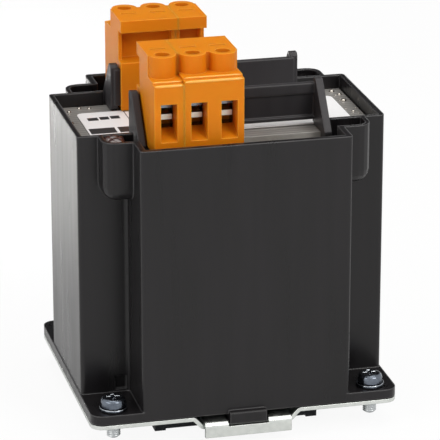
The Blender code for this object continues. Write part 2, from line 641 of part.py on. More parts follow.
def make_carrier():
    """Terminal carrier of the front row: a grooved wall between two leaning posts."""
    groove = CARRIER_OUTER - CARRIER_GROOVE
    wall = [(CARRIER_INNER, CARRIER_BOTTOM), (CARRIER_OUTER, CARRIER_BOTTOM),
            (CARRIER_OUTER, CARRIER_BOTTOM + CARRIER_FOOT_LIP), (groove, CARRIER_BOTTOM + CARRIER_FOOT_LIP),
            (groove, CARRIER_TOP - CARRIER_BEAD), (CARRIER_OUTER, CARRIER_TOP - CARRIER_BEAD),
            (CARRIER_OUTER, CARRIER_TOP), (CARRIER_INNER, CARRIER_TOP)]
    outside = POST_INSIDE + POST_THICKNESS
    wall_end = POST_INSIDE + POST_THICKNESS / 2
    made = prism([(-u, z) for u, z in wall], (-wall_end, wall_end), "X", "terminal_carrier")
    base = CORE_TOP + GAP
    leg_in = CORE_FACE + POST_LEG_PLAY
    foot = CORE_FACE + POST_FOOT_REACH
    post = [(CARRIER_INNER + GAP, base + LABEL_THICKNESS + 2 * GAP),
            (LABEL_FRONT + GAP, base + LABEL_THICKNESS + 2 * GAP), (LABEL_FRONT + GAP, base),
            (leg_in, base), (leg_in, FLANGE_TOP + GAP),
            (leg_in + POST_LEG_DEPTH, FLANGE_TOP + GAP), (leg_in + POST_LEG_DEPTH, base), (foot, base),
            (foot, CORE_TOP + POST_FOOT_HEIGHT), (CARRIER_OUTER + POST_TOP_DEPTH, POST_TOP - POST_CHAMFER),
            (CARRIER_OUTER + POST_TOP_DEPTH - POST_CHAMFER, POST_TOP), (CARRIER_INNER + POST_CHAMFER, POST_TOP),
            (CARRIER_INNER + GAP, POST_TOP - POST_CHAMFER)]
    for side in (-1, 1):
        span = sorted((side * POST_INSIDE, side * outside))
        made = join(made, prism([(-u, z) for u, z in post], span, "X"))
    return made


def make_terminal_housing(ways, ledge):
    """Moulded terminal module of one or two ways, its screw axes on local Y zero."""
    half = ways * PITCH / 2 - MODULE_PLAY
    recess_floor = CARRIER_TOP + BACK_RECESS_RISE
    skirt_inner = CARRIER_INNER - GAP - SKIRT_THICKNESS
    skirt_bottom = CORE_TOP + SKIRT_CLEAR
    body = [(BODY_INNER, BODY_BOTTOM), (BODY_OUTER, BODY_BOTTOM), (BODY_OUTER, ledge - LEDGE_STEP),
            (BODY_OUTER - LEDGE_STEP_WIDTH, ledge - LEDGE_STEP), (BODY_OUTER - LEDGE_STEP_WIDTH, ledge),
            (SCREW_AXIS, ledge), (SCREW_AXIS, TOWER_TOP), (LIP_REACH, TOWER_TOP),
            (LIP_REACH, TOWER_TOP - LIP_THICKNESS), (BODY_INNER, TOWER_TOP - LIP_THICKNESS),
            (BODY_INNER, recess_floor), (skirt_inner, recess_floor), (skirt_inner, skirt_bottom),
            (CARRIER_INNER - GAP, skirt_bottom), (CARRIER_INNER - GAP, CARRIER_TOP + GAP),
            (BODY_INNER, CARRIER_TOP + GAP)]

    def y(u):
        return SCREW_AXIS - u

    made = prism([(y(u), z) for u, z in body], (-half, half), "X", "terminal_housing")
    centres = [(i - (ways - 1) / 2) * PITCH for i in range(ways)]
    for x in centres:
        made = join(made, cylinder(TOWER_RADIUS, x, 0, (ledge - MM, TOWER_TOP), 24))
    tongue_top = CARRIER_BOTTOM - GAP
    catch_top = CARRIER_TOP - CARRIER_BEAD - GAP
    for x in centres:
        across = (x - TONGUE_WIDTH / 2, x + TONGUE_WIDTH / 2)
        made = join(made, box(across, (y(BODY_INNER + MM), y(BODY_INNER - TONGUE_REACH)),
                              (tongue_top - TONGUE_THICKNESS, tongue_top)),
                    box(across, (y(BODY_INNER + MM), y(CARRIER_OUTER - CARRIER_GROOVE + GAP)),
                        (catch_top - CATCH_HEIGHT, catch_top)))
    made = cut(made, box((-half + BACK_RECESS_WALL, half - BACK_RECESS_WALL),
                         (y(BODY_INNER + BACK_RECESS_DEPTH), y(skirt_inner - MM)),
                         (recess_floor, TOWER_TOP - LIP_THICKNESS)))
    cage_front = SCREW_AXIS + CAGE_DEPTH / 2 + GAP
    cage_back = SCREW_AXIS - CAGE_DEPTH / 2 - GAP
    test_slot = SCREW_AXIS - TEST_SLOT_SETBACK
    funnel = [(y(BODY_OUTER), FUNNEL_OUTER_BOTTOM), (y(cage_front - GAP), FUNNEL_INNER_BOTTOM),
              (y(cage_front - GAP), WINDOW_TOP), (y(BODY_OUTER + MM), WINDOW_TOP),
              (y(BODY_OUTER + MM), FUNNEL_OUTER_BOTTOM)]
    for x in centres:
        chamber = CAGE_WIDTH / 2 + GAP
        slot = BAR_WIDTH / 2 + GAP
        made = cut(made, box((x - chamber, x + chamber), (y(cage_front), y(cage_back)),
                             (BODY_BOTTOM - MM, CHAMBER_TOP)),
                   cylinder(CLAMP_SHANK / 2 + GAP, x, 0, (CHAMBER_TOP - MM, TOWER_TOP), 16),
                   cylinder(DRIVER_HOLE / 2, x, 0, (SHELF_TOP, TOWER_TOP + MM), 16),
                   prism(funnel, (x - WINDOW_WIDTH / 2, x + WINDOW_WIDTH / 2), "X"),
                   box((x - slot, x + slot), (y(SOLDER_LEG_INNER + SOLDER_LEG + GAP), y(SOLDER_LEG_INNER - GAP)),
                       (BODY_BOTTOM - MM, BAR_BOTTOM + BAR_THICKNESS + GAP)),
                   box((x - slot, x + slot), (y(cage_back + MM), y(SOLDER_LEG_INNER)),
                       (BAR_BOTTOM - GAP, BAR_BOTTOM + BAR_THICKNESS + GAP)),
                   box((x - TEST_SLOT_WIDTH / 2, x + TEST_SLOT_WIDTH / 2),
                       (y(test_slot + TEST_SLOT_THICKNESS / 2), y(test_slot - TEST_SLOT_THICKNESS / 2)),
                       (TOWER_TOP - TEST_SLOT_DEPTH, TOWER_TOP + MM)))
    return made


def make_clamp_cage():
    """Rising clamp: a ring of steel with a threaded top plate, on its screw's axis."""
    half = CAGE_WIDTH / 2
    ring = box((-half, half), (-CAGE_DEPTH / 2, CAGE_DEPTH / 2), (CAGE_LOW, CAGE_HIGH), "clamp_cage")
    return cut(ring, box((-half + CAGE_SIDE, half - CAGE_SIDE), (-CAGE_DEPTH, CAGE_DEPTH),
                         (CAGE_LOW + CAGE_BOTTOM_BAR, CAGE_INNER_TOP)),
               cylinder(CLAMP_SHANK / 2 + GAP, 0, 0, (CAGE_INNER_TOP - MM, CAGE_HIGH + MM), 16))


def make_clamp_screw():
    """Slotted clamp screw whose head seats on the module's shelf."""
    seat = SHELF_TOP + GAP
    tip = CAGE_INNER_TOP - GAP
    head = CLAMP_HEAD / 2
    shank = CLAMP_SHANK / 2
    crown = CLAMP_HEAD_HEIGHT / 8
    profile = [(0, seat + CLAMP_HEAD_HEIGHT), (head - crown, seat + CLAMP_HEAD_HEIGHT),
               (head, seat + CLAMP_HEAD_HEIGHT - crown), (head, seat), (shank, seat), (shank, tip + crown),
               (shank - crown, tip), (0, tip)]
    made = turned(profile, 16, "clamp_screw")
    return cut(made, box((-CLAMP_HEAD, CLAMP_HEAD), (-CLAMP_SLOT / 2, CLAMP_SLOT / 2),
                         (seat + CLAMP_HEAD_HEIGHT - CLAMP_SLOT_DEPTH, seat + CLAMP_HEAD_HEIGHT + MM)))


def make_contact_bar():
    """Contact bar through the cage, bent down behind it into a solder leg."""
    nose = -(CAGE_DEPTH / 2 + BAR_NOSE)
    back = SCREW_AXIS - SOLDER_LEG_INNER
    outline = [(nose, BAR_BOTTOM), (back - SOLDER_LEG, BAR_BOTTOM), (back - SOLDER_LEG, SOLDER_LEG_BOTTOM),
               (back, SOLDER_LEG_BOTTOM), (back, BAR_BOTTOM + BAR_THICKNESS), (nose, BAR_BOTTOM + BAR_THICKNESS)]
    return prism(outline, (-BAR_WIDTH / 2, BAR_WIDTH / 2), "X", "contact_bar")


def make_lead():
    """Insulated lead from the coil up to a solder leg, on the leg's own X."""
    leg = -(SOLDER_LEG_INNER + SOLDER_LEG + GAP + LEAD_DIAMETER / 2)
    start = -LEAD_EXIT
    low = FLANGE_TOP - BOBBIN_WALL
    high = SOLDER_LEG_BOTTOM + LEAD_JOINT
    points = []
    for i in range(LEAD_STEPS + 1):
        t = i / LEAD_STEPS
        ease = t * t * (3 - 2 * t)
        points.append((0, start + (leg - start) * ease, low + (high - low) * t))
    return tube(points, LEAD_DIAMETER, "lead", 2)


def make_base_screw():
    """Pan-head machine screw with a cross recess."""
    seat = FLANGE_THICKNESS + WASHER_THICKNESS + 2 * GAP
    top = seat + SCREW_HEAD_HEIGHT
    head = SCREW_HEAD / 2
    shank = SCREW_SHANK / 2
    crown = SCREW_HEAD_HEIGHT / 2
    dome = [(head - crown + crown * math.sin(a), top - crown + crown * math.cos(a))
            for a in (0, math.pi / 6, math.pi / 3, math.pi / 2)]
    lead_in = shank / 4
    profile = [(0, top)] + dome + [(head, seat), (shank, seat), (shank, -SCREW_TIP_DROP + lead_in),
                                   (shank - lead_in, -SCREW_TIP_DROP), (0, -SCREW_TIP_DROP)]
    made = turned(profile, 24, "base_screw")
    arm = SCREW_RECESS / 2
    width = RECESS_SLOT / 2
    depth = (top - RECESS_DEPTH, top + MM)
    return cut(made, join(box((-arm, arm), (-width, width), depth), box((-width, width), (-arm, arm), depth)))


def make_washer():
    """Plain washer between the screw's head and the flange."""
    bottom = FLANGE_THICKNESS + GAP
    made = cylinder(WASHER_DIAMETER / 2, 0, 0, (bottom, bottom + WASHER_THICKNESS), 24, "washer")
    return cut(made, cylinder(SCREW_SHANK / 2 + GAP, 0, 0, (bottom - MM, bottom + MM + WASHER_THICKNESS)))


def make_label():
    """Card label lying on the core between the two carriers."""
    bottom = CORE_TOP + GAP
    corners = [(-LABEL_LEFT, -LABEL_FRONT), (LABEL_RIGHT, -LABEL_FRONT), (LABEL_RIGHT, LABEL_BACK),
               (-LABEL_LEFT, LABEL_BACK)]
    return prism(rounded(corners, LABEL_CORNER), (bottom, bottom + LABEL_THICKNESS), name="rating_label")


def copy_of(made):
    return object_from_mesh(made.name, made.data)


def build():
    clear_scene()
    black = material("black_moulding", (0.033, 0.032, 0.033), 0.35)
    orange = material("orange_moulding", (0.75, 0.25, 0.02), 0.4)
    zinc = material("zinc_plate", (0.6, 0.62, 0.6), 0.3, 1.0)
    blackened = material("blackened_steel", (0.02, 0.02, 0.02), 0.4, 1.0)
    steel = material("core_steel", (0.2, 0.19, 0.18), 0.5, 0.8)
    copper = material("enamelled_wire", (0.35, 0.1, 0.04), 0.35)
    card = material("label_card", (0.85, 0.85, 0.84), 0.5)
    nylon = material("bobbin_nylon", (0.5, 0.48, 0.42), 0.5)
    film = material("insulating_wrap", (0.3, 0.2, 0.1), 0.4)
    tin = material("tinned_brass", (0.7, 0.68, 0.62), 0.3, 1.0)
    sleeve = material("lead_sleeve", (0.12, 0.03, 0.02), 0.45)

    root = bpy.data.objects.new("transformer", None)
    bpy.context.scene.collection.objects.link(root)
    root.location = (0, ROOT_SHIFT_Y, ROOT_SHIFT_Z)

    place(make_housing(), "housing", root, black)
    place(make_base_plate(), "base_plate", root, zinc)
    place(make_rail_latch(), "rail_latch", root, zinc)
    place(make_hook_bar(), "hook_bar", root, blackened)
    place(make_latch_spring(), "latch_spring", root, zinc)
    place(make_core_e(), "core_e_stack", root, steel)
    place(make_core_i(), "core_i_stack", root, steel)
    place(make_bobbin(), "bobbin", root, nylon)
    place(make_winding("primary_winding", GAP, PRIMARY_BUILD), "primary_winding", root, copper)
    outer = PRIMARY_BUILD + 2 * GAP
    place(make_winding("secondary_winding", outer, SECONDARY_BUILD), "secondary_winding", root, copper)
    place(make_winding("coil_wrap", outer + SECONDARY_BUILD + GAP, WRAP_THICKNESS), "coil_wrap", root, film)

    carrier = make_carrier()
    place(carrier, "carrier_front", root, black)
    place(copy_of(carrier), "carrier_rear", root, black, half_turn=True)

    single = make_terminal_housing(1, LEDGE_HEIGHT - SINGLE_LEDGE_DROP)
    double = make_terminal_housing(2, LEDGE_HEIGHT)
    for row, side in (("front", -1), ("rear", 1)):
        turn = side > 0
        piece = single if side < 0 else copy_of(single)
        place(piece, "terminal_single_" + row, root, orange, (TERMINAL_CENTRE_X + side * PITCH, side * SCREW_AXIS, 0),
              turn)
        piece = double if side < 0 else copy_of(double)
        place(piece, "terminal_double_" + row, root, orange,
              (TERMINAL_CENTRE_X - side * PITCH / 2, side * SCREW_AXIS, 0), turn)

    fittings = (("clamp_cage", make_clamp_cage(), zinc), ("clamp_screw", make_clamp_screw(), zinc),
                ("contact_bar", make_contact_bar(), tin), ("lead", make_lead(), sleeve))
    for label, master, finish in fittings:
        for row, side in (("front", -1), ("rear", 1)):
            for i, x in enumerate(lead_places()):
                y = 0 if label == "lead" else side * SCREW_AXIS
                x = x if side < 0 else 2 * TERMINAL_CENTRE_X - x
                place(copy_of(master), f"{label}_{row}_{i + 1}", root, finish, (x, y, 0), side > 0)
        bpy.data.objects.remove(master, do_unlink=True)

    for label, master, finish in (("base_screw", make_base_screw(), zinc), ("washer", make_washer(), zinc)):
        corners = ((-1, -1), (1, -1), (1, 1), (-1, 1))
        for i, (side_x, side_y) in enumerate(corners):
            place(copy_of(master), f"{label}_{i + 1}", root, finish, (side_x * SCREW_X, side_y * SCREW_Y, 0))
        bpy.data.objects.remove(master, do_unlink=True)
    place(make_label(), "rating_label", root, card)

    parts = bpy.data.collections.new("safety_transformer")
    bpy.context.scene.collection.children.link(parts)
    for thing in list(bpy.context.scene.collection.objects):
        parts.objects.link(thing)
        bpy.context.scene.collection.objects.unlink(thing)


build()
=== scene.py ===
import math

import bmesh
import bpy
import numpy as np
from mathutils import Matrix, Vector


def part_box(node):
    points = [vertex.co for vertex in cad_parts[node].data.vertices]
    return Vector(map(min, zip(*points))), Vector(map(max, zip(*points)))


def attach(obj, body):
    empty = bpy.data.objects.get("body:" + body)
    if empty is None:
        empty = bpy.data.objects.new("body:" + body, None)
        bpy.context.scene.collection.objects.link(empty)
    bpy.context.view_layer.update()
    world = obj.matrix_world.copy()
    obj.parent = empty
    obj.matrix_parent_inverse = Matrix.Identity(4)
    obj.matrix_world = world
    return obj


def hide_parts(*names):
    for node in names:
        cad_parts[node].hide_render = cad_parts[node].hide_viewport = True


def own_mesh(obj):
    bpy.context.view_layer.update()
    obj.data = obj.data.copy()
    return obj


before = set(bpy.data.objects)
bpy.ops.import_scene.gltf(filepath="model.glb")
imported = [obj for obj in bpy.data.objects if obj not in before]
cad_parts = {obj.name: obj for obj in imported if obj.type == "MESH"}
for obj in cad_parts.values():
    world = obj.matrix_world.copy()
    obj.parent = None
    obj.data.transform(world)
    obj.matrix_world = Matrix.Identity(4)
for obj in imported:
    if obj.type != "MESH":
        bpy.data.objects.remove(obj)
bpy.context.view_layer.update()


# Camera at the height and side from which the transformer was photographed, a long lens
# about a metre off. The angles and the distance were fitted to the edges of the housing.
def aimed(spot, aim):
    """Placement of a camera or lamp at a spot, looking at the aim."""
    back = Vector(spot) - Vector(aim)
    return Matrix.Translation(spot) @ back.to_track_quat("Z", "Y").to_matrix().to_4x4()


CAMERA_SIDE = math.radians(-13.86)
CAMERA_HEIGHT = math.radians(19.34)
CAMERA_DISTANCE = 0.96612
FILM_WIDTH = 36.0
FOCAL_LENGTH = 241.7
AIM_RIGHT = 0.00174
AIM_BELOW_CORE = 0.03515

core_low, core_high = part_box("core_i_stack")
core_middle_y = (core_low[1] + core_high[1]) / 2
core_top = core_high[2]
look_at = Vector((AIM_RIGHT, core_middle_y, core_top - AIM_BELOW_CORE))
away = Vector((math.sin(CAMERA_SIDE) * math.cos(CAMERA_HEIGHT),
               -math.cos(CAMERA_SIDE) * math.cos(CAMERA_HEIGHT),
               math.sin(CAMERA_HEIGHT)))
lens = bpy.data.cameras.new("studio_camera")
lens.sensor_width = FILM_WIDTH
lens.lens = FOCAL_LENGTH
camera = bpy.data.objects.new("studio_camera", lens)
camera.matrix_world = aimed(look_at + away * CAMERA_DISTANCE, look_at)
bpy.context.scene.collection.objects.link(camera)
bpy.context.scene.camera = camera
bpy.context.scene.view_settings.view_transform = "Standard"


# Studio: a white board on the floor, a soft box on either side, one above, a small lamp on the
# board behind, and an even glow all round that shows white in every reflection.
def linear(code):
    """Linear RGBA of an sRGB hex colour: up to 0.04045 a share of 1 in 12.92, above it a 2.4 power."""
    value = np.array([int(code[i:i + 2], 16) for i in (1, 3, 5)]) / 255
    value = np.where(value <= 0.04045, value / 12.92, ((value + 0.055) / 1.055) ** 2.4)
    return (*map(float, value), 1.0)


def put(tree, kind, sockets=None, **settings):
    """Adds one node with its settings; a socket takes a value, or another node's output."""
    made = tree.nodes.new(kind)
    for name, value in settings.items():
        setattr(made, name, value)
    for name, value in (sockets or {}).items():
        if isinstance(value, bpy.types.NodeSocket):
            tree.links.new(value, made.inputs[name])
        else:
            made.inputs[name].default_value = value
    return made


def empty_tree(owner):
    """Node tree of a material or world, cleared."""
    owner.use_nodes = True
    owner.node_tree.nodes.clear()
    return owner.node_tree


def sight(tree):
    """Two outputs: 1 for the camera's rays, and 1 for these and for mirrored and refracted ones."""
    path = put(tree, "ShaderNodeLightPath").outputs
    seen = path["Is Camera Ray"]
    for kind in ("Is Glossy Ray", "Is Transmission Ray"):
        seen = put(tree, "ShaderNodeMath", {0: seen, 1: path[kind]}, operation="MAXIMUM").outputs[0]
    return path["Is Camera Ray"], seen


def card(name, corners, finish):
    """Flat four-cornered card of the studio."""
    mesh = bpy.data.meshes.new(name)
    mesh.from_pydata(corners, [], [(0, 1, 2, 3)])
    mesh.materials.append(finish)
    made = bpy.data.objects.new(name, mesh)
    bpy.context.scene.collection.objects.link(made)


AMBIENT_STRENGTH = 0.44
BOARD_GLOW_SEEN = 0.92
BOARD_GLOW_MIRRORED = 0.2
BOARD_REACH = 4
LAMP_COLOUR = (1.0, 0.98, 0.95)

glow = bpy.data.worlds.new("studio_glow")
bpy.context.scene.world = glow
tree = empty_tree(glow)
seen_first, seen = sight(tree)
ambient = put(tree, "ShaderNodeBackground", {"Color": linear("#F4F6FA"), "Strength": AMBIENT_STRENGTH})
white = put(tree, "ShaderNodeBackground", {"Color": (1, 1, 1, 1), "Strength": 1.0})
both = put(tree, "ShaderNodeMixShader", {0: seen, 1: ambient.outputs[0], 2: white.outputs[0]})
put(tree, "ShaderNodeOutputWorld", {"Surface": both.outputs[0]})

board_white = bpy.data.materials.new("white_board")
tree = empty_tree(board_white)
seen_first, seen = sight(tree)
mirrored = put(tree, "ShaderNodeMath", {0: seen, 1: seen_first}, operation="SUBTRACT")
share = put(tree, "ShaderNodeMath", {0: mirrored.outputs[0], 1: BOARD_GLOW_MIRRORED}, operation="MULTIPLY")
share = put(tree, "ShaderNodeMath", {0: seen_first, 1: BOARD_GLOW_SEEN, 2: share.outputs[0]},
            operation="MULTIPLY_ADD")
paint = put(tree, "ShaderNodeBsdfDiffuse", {"Color": linear("#F2F2F2")})
shine = put(tree, "ShaderNodeEmission", {"Color": (1, 1, 1, 1), "Strength": 1.0})
both = put(tree, "ShaderNodeMixShader", {0: share.outputs[0], 1: paint.outputs[0], 2: shine.outputs[0]})
put(tree, "ShaderNodeOutputMaterial", {"Surface": both.outputs[0]})
board_corners = [(-BOARD_REACH, -BOARD_REACH, 0), (BOARD_REACH, -BOARD_REACH, 0),
                 (BOARD_REACH, BOARD_REACH, 0), (-BOARD_REACH, BOARD_REACH, 0)]
card("studio_board", board_corners, board_white)

for name, spot, aim, size, power, spread in (
        ("soft_box_right", (0.60, -0.90, 0.90), (0, 0, 0.06), 0.6, 8.0, 180),
        ("soft_box_left", (-0.95, -0.45, 0.60), (0, 0, 0.06), 0.8, 5.0, 180),
        ("soft_box_above", (0.05, 0.05, 1.15), (0, 0, 0.06), 0.9, 6.3, 180),
        ("board_light", (-0.15, 0.36, 0.90), (-0.15, 0.34, 0.0), 0.2, 0.75, 24)):
    lamp = bpy.data.lights.new(name, "AREA")
    lamp.shape = "SQUARE"
    lamp.size = size
    lamp.energy = power
    lamp.color = LAMP_COLOUR
    lamp.spread = math.radians(spread)
    lamp = bpy.data.objects.new(name, lamp)
    lamp.matrix_world = aimed(spot, aim)
    bpy.context.scene.collection.objects.link(lamp)

# Flag: a black card stood well behind, above all that the lens sees, so that the tops keep
# their own colour in place of a white glare.
FLAG_LEFT, FLAG_RIGHT = -1.6, 1.9
FLAG_LOW, FLAG_LOW_BACK = 0.35, 2.4
FLAG_HIGH, FLAG_HIGH_BACK = 2.2, 2.0

flag_black = bpy.data.materials.new("black_card")
tree = empty_tree(flag_black)
paint = put(tree, "ShaderNodeBsdfDiffuse", {"Color": linear("#262628")})
put(tree, "ShaderNodeOutputMaterial", {"Surface": paint.outputs[0]})
flag_corners = [(FLAG_LEFT, FLAG_LOW_BACK, FLAG_LOW), (FLAG_RIGHT, FLAG_LOW_BACK, FLAG_LOW),
                (FLAG_RIGHT, FLAG_HIGH_BACK, FLAG_HIGH), (FLAG_LEFT, FLAG_HIGH_BACK, FLAG_HIGH)]
card("studio_flag", flag_corners, flag_black)


# Housing: one moulding in black glass-filled nylon, open at the top. The tool's fine spark
# texture gives a satin gloss, and the glass shows as a faint mottle in the reflections. The
# carriers get a duller, paler copy of it. A paler grey along the edges is a painted highlight.
def new_finish(name):
    """Empty material, with its tree and the place on the object in metres."""
    finish = bpy.data.materials.new(name)
    tree = empty_tree(finish)
    place = put(tree, "ShaderNodeTexCoord").outputs["Object"]
    return finish, tree, place


def noise(tree, place, scale, **sockets):
    """Noise over the object, from 0 to 1, so many waves to the metre; more sockets by name."""
    named = {name.replace("_", " ").title(): value for name, value in sockets.items()}
    return put(tree, "ShaderNodeTexNoise", {"Vector": place, "Scale": scale, **named}).outputs[0]


def blend(tree, factor, first, second):
    """Colour between two others; each is an sRGB hex colour or another node's output."""
    first, second = (linear(tone) if isinstance(tone, str) else tone for tone in (first, second))
    mixed = put(tree, "ShaderNodeMix", {"Factor": factor, "A": first, "B": second}, data_type="RGBA")
    return mixed.outputs["Result"]


def scaled(tree, value, low, high, **ends):
    """Value taken to the range from low to high; the ends of its own range are 0 and 1 if not given."""
    sockets = {"Value": value, "To Min": low, "To Max": high}
    if ends:
        sockets |= {"From Min": ends["start"], "From Max": ends["end"]}
    return put(tree, "ShaderNodeMapRange", sockets).outputs[0]


def raised(tree, height, distance, strength, normal=None):
    """Normal bent by a height, over a normal of its own if that is given."""
    sockets = {"Height": height, "Distance": distance, "Strength": strength}
    if normal is not None:
        sockets["Normal"] = normal
    return put(tree, "ShaderNodeBump", sockets).outputs[0]


def rounded_edge(tree, radius, samples):
    """Normal that turns round each edge as if it had this radius."""
    return put(tree, "ShaderNodeBevel", {"Radius": radius}, samples=samples).outputs[0]


def edge_wear_and_highlight(tree, soft_edge, start, end):
    """0 on the flats and 1 on the edges: how far the rounded normal has turned from the true one."""
    facing = put(tree, "ShaderNodeNewGeometry")
    turned = put(tree, "ShaderNodeVectorMath", {0: soft_edge, 1: facing.outputs["True Normal"]},
                 operation="DOT_PRODUCT")
    return scaled(tree, turned.outputs["Value"], 0.0, 1.0, start=start, end=end)


def surface(tree, colour, sockets):
    """Principled shader with this colour and these sockets, as the material's surface."""
    shader = put(tree, "ShaderNodeBsdfPrincipled", {"Base Color": colour, **sockets})
    put(tree, "ShaderNodeOutputMaterial", {"Surface": shader.outputs[0]})


def dress(finish, *names):
    """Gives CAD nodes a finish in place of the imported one."""
    for name in names:
        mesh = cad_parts[name].data
        mesh.materials.clear()
        mesh.materials.append(finish)


def dress_all(finish, *beginnings):
    """Gives a finish to every CAD node whose name begins so."""
    dress(finish, *[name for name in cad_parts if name.startswith(beginnings)])


FLOW_DRAWN_OUT = (1.0, 1.0, 0.08)

for name, smooth, dull, deep, pale, nodes in (
        ("nylon_black_moulded", 0.26, 0.33, "#111011", "#181618", ("housing",)),
        ("nylon_black_carrier", 0.38, 0.50, "#272527", "#2E2C2E", ("carrier_front", "carrier_rear"))):
    nylon_black, tree, place = new_finish(name)
    soft_edge = rounded_edge(tree, 0.0008, 8)
    grain = noise(tree, place, 1500.0, detail=2.0)
    drawn = put(tree, "ShaderNodeMapping", {"Vector": place, "Scale": FLOW_DRAWN_OUT}).outputs[0]
    flow = noise(tree, drawn, 160.0, detail=3.0, roughness=0.6)
    relief = raised(tree, grain, 0.00001, 0.2, soft_edge)
    gloss = scaled(tree, flow, smooth, dull, start=0.3, end=0.7)
    tint = scaled(tree, flow, 0.0, 1.0, start=0.3, end=0.7)
    shade = blend(tree, tint, deep, pale)
    # Painted highlight: the edges turn a paler grey, as if rounded edges caught the lamps.
    shade = blend(tree, edge_wear_and_highlight(tree, soft_edge, 0.97, 0.80), shade, "#474647")
    surface(tree, shade, {"Roughness": gloss, "Normal": relief, "IOR": 1.385,
                          "Sheen Weight": 0.02, "Sheen Roughness": 0.3})
    dress(nylon_black, *nodes)


# Base plate and latch: bent sheet, hot-dip zinc over steel, with a flat grey spangle of
# crystals a few millimetres across and a fine unevenness in its gloss from rolling.
zinc_sheet, tree, place = new_finish("zinc_spangled_sheet")
soft_edge = rounded_edge(tree, 0.0003, 6)
spangle = put(tree, "ShaderNodeTexVoronoi", {"Vector": place, "Scale": 420.0}).outputs["Distance"]
rolling = noise(tree, place, 900.0, detail=3.0)
surface(tree, blend(tree, spangle, "#D8DBD7", "#C8CCC8"), {
    "Metallic": 1.0, "Roughness": scaled(tree, rolling, 0.26, 0.42, start=0.3, end=0.7),
    "Normal": raised(tree, rolling, 0.00003, 0.3, soft_edge)})
dress(zinc_sheet, "base_plate", "rail_latch")


# Latch spring: hard drawn steel wire, left grey and slightly oily, wound open with its end
# turns closed. It sits between the housing's lug and the latch; the real one shortens as the
# latch is pulled, but this one keeps one length and rides on the transformer.
MERGE_DISTANCE = 1e-7


def solid(name, points, faces, smooth):
    """Object of these faces; points that fall together are merged and the faces turned outward."""
    mesh = bpy.data.meshes.new(name)
    mesh.from_pydata(points.tolist(), [], faces)
    shell = bmesh.new()
    shell.from_mesh(mesh)
    bmesh.ops.remove_doubles(shell, verts=shell.verts, dist=MERGE_DISTANCE)
    bmesh.ops.recalc_face_normals(shell, faces=shell.faces)
    shell.to_mesh(mesh)
    shell.free()
    mesh.polygons.foreach_set("use_smooth", np.full(len(mesh.polygons), smooth))
    piece = bpy.data.objects.new(name, mesh)
    bpy.context.scene.collection.objects.link(piece)
    return piece


def skin(name, points, smooth=True):
    """Object over one or more grids of points, grids by rows by columns: each cell is a face of
    four sides. Merged points close the seams and poles."""
    points = np.asarray(points, dtype=float)
    points = points.reshape(-1, *points.shape[-3:])
    grids, rows, columns = points.shape[:3]
    cell = np.arange(grids * rows * columns).reshape(grids, rows, columns)
    corners = [cell[:, :-1, :-1], cell[:, :-1, 1:], cell[:, 1:, 1:], cell[:, 1:, :-1]]
    faces = np.stack(corners, axis=-1).reshape(-1, 4)
    return solid(name, points.reshape(-1, 3), faces.tolist(), smooth)


def settle(piece, finish, body):
    """Gives a new piece its finish and the body it rides on."""
    piece.data.materials.append(finish)
    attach(piece, body)


SPRING_WIRE = 0.0004
SPRING_TURNS = 11
POINTS_IN_A_TURN = 14
POINTS_ROUND_WIRE = 9
END_TURN_RISE = 1.4                 # wire diameters


def coil(middle_x, middle_z, start, end, radius):
    """Helix along Y: a circle of wire swept along it, in the plane of the outward normal and of
    the binormal. The first and last turn rise by the closed pitch, and the others evenly."""
    angle = np.linspace(0, 2 * np.pi * SPRING_TURNS, SPRING_TURNS * POINTS_IN_A_TURN + 1)
    closed = END_TURN_RISE * SPRING_WIRE
    y = np.interp(angle / (2 * np.pi), [0, 1, SPRING_TURNS - 1, SPRING_TURNS],
                  [start, start + closed, end - closed, end])
    outward = np.stack([np.cos(angle), np.zeros_like(angle), np.sin(angle)], axis=-1)
    path = np.stack([middle_x + radius * outward[:, 0], y, middle_z + radius * outward[:, 2]], axis=-1)
    tangent = np.gradient(path, axis=0)
    tangent /= np.linalg.norm(tangent, axis=1, keepdims=True)
    binormal = np.cross(tangent, outward)
    turn = np.linspace(0, 2 * np.pi, POINTS_ROUND_WIRE)
    thick = np.full(len(angle) + 2, SPRING_WIRE / 2)
    thick[[0, -1]] = 0
    rows = np.concatenate([[0], np.arange(len(angle)), [len(angle) - 1]])
    ring = (np.cos(turn)[None, :, None] * outward[rows, None]
            + np.sin(turn)[None, :, None] * binormal[rows, None])
    return path[rows, None] + thick[:, None, None] * ring


spring_wire, tree, place = new_finish("spring_wire_drawn")
draw = noise(tree, place, 3000.0)
surface(tree, linear("#8C8C8A"), {"Metallic": 1.0, "Roughness": scaled(tree, draw, 0.2, 0.4)})
low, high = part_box("latch_spring")
middle_z = (low[2] + high[2]) / 2
spring = skin("latch_spring_wound", coil((low[0] + high[0]) / 2, middle_z, low[1] + SPRING_WIRE / 2,
                                         high[1] - SPRING_WIRE / 2, (high[0] - low[0] - SPRING_WIRE) / 2))
settle(spring, spring_wire, "transformer")
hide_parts("latch_spring")
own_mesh(spring)


# Hook bar: stamped steel with a phosphate skin, oiled, so it is nearly black with a dull grey
# bloom and rubs bright along the edges that meet the rail.
phosphated_steel, tree, place = new_finish("steel_phosphated_oiled")
soft_edge = rounded_edge(tree, 0.0003, 6)
crystal = noise(tree, place, 1800.0, detail=4.0)
shade = blend(tree, crystal, "#1B1C1E", "#3A3C3F")
shade = blend(tree, edge_wear_and_highlight(tree, soft_edge, 0.95, 0.75), shade, "#6E7073")
surface(tree, shade, {"Metallic": 0.8, "Roughness": scaled(tree, crystal, 0.32, 0.5, start=0.3, end=0.7),
                      "Normal": raised(tree, crystal, 0.00002, 0.4, soft_edge)})
dress(phosphated_steel, "hook_bar")


# Core: electrical steel laminations stacked from front to back and dipped in varnish, which
# darkens them and stains them in clouds. A fine line every 2 mm stands for four sheet edges.
# A wave's period in metres is two pi over twenty times its scale.
SHEET_LINE_SCALE = 157.0

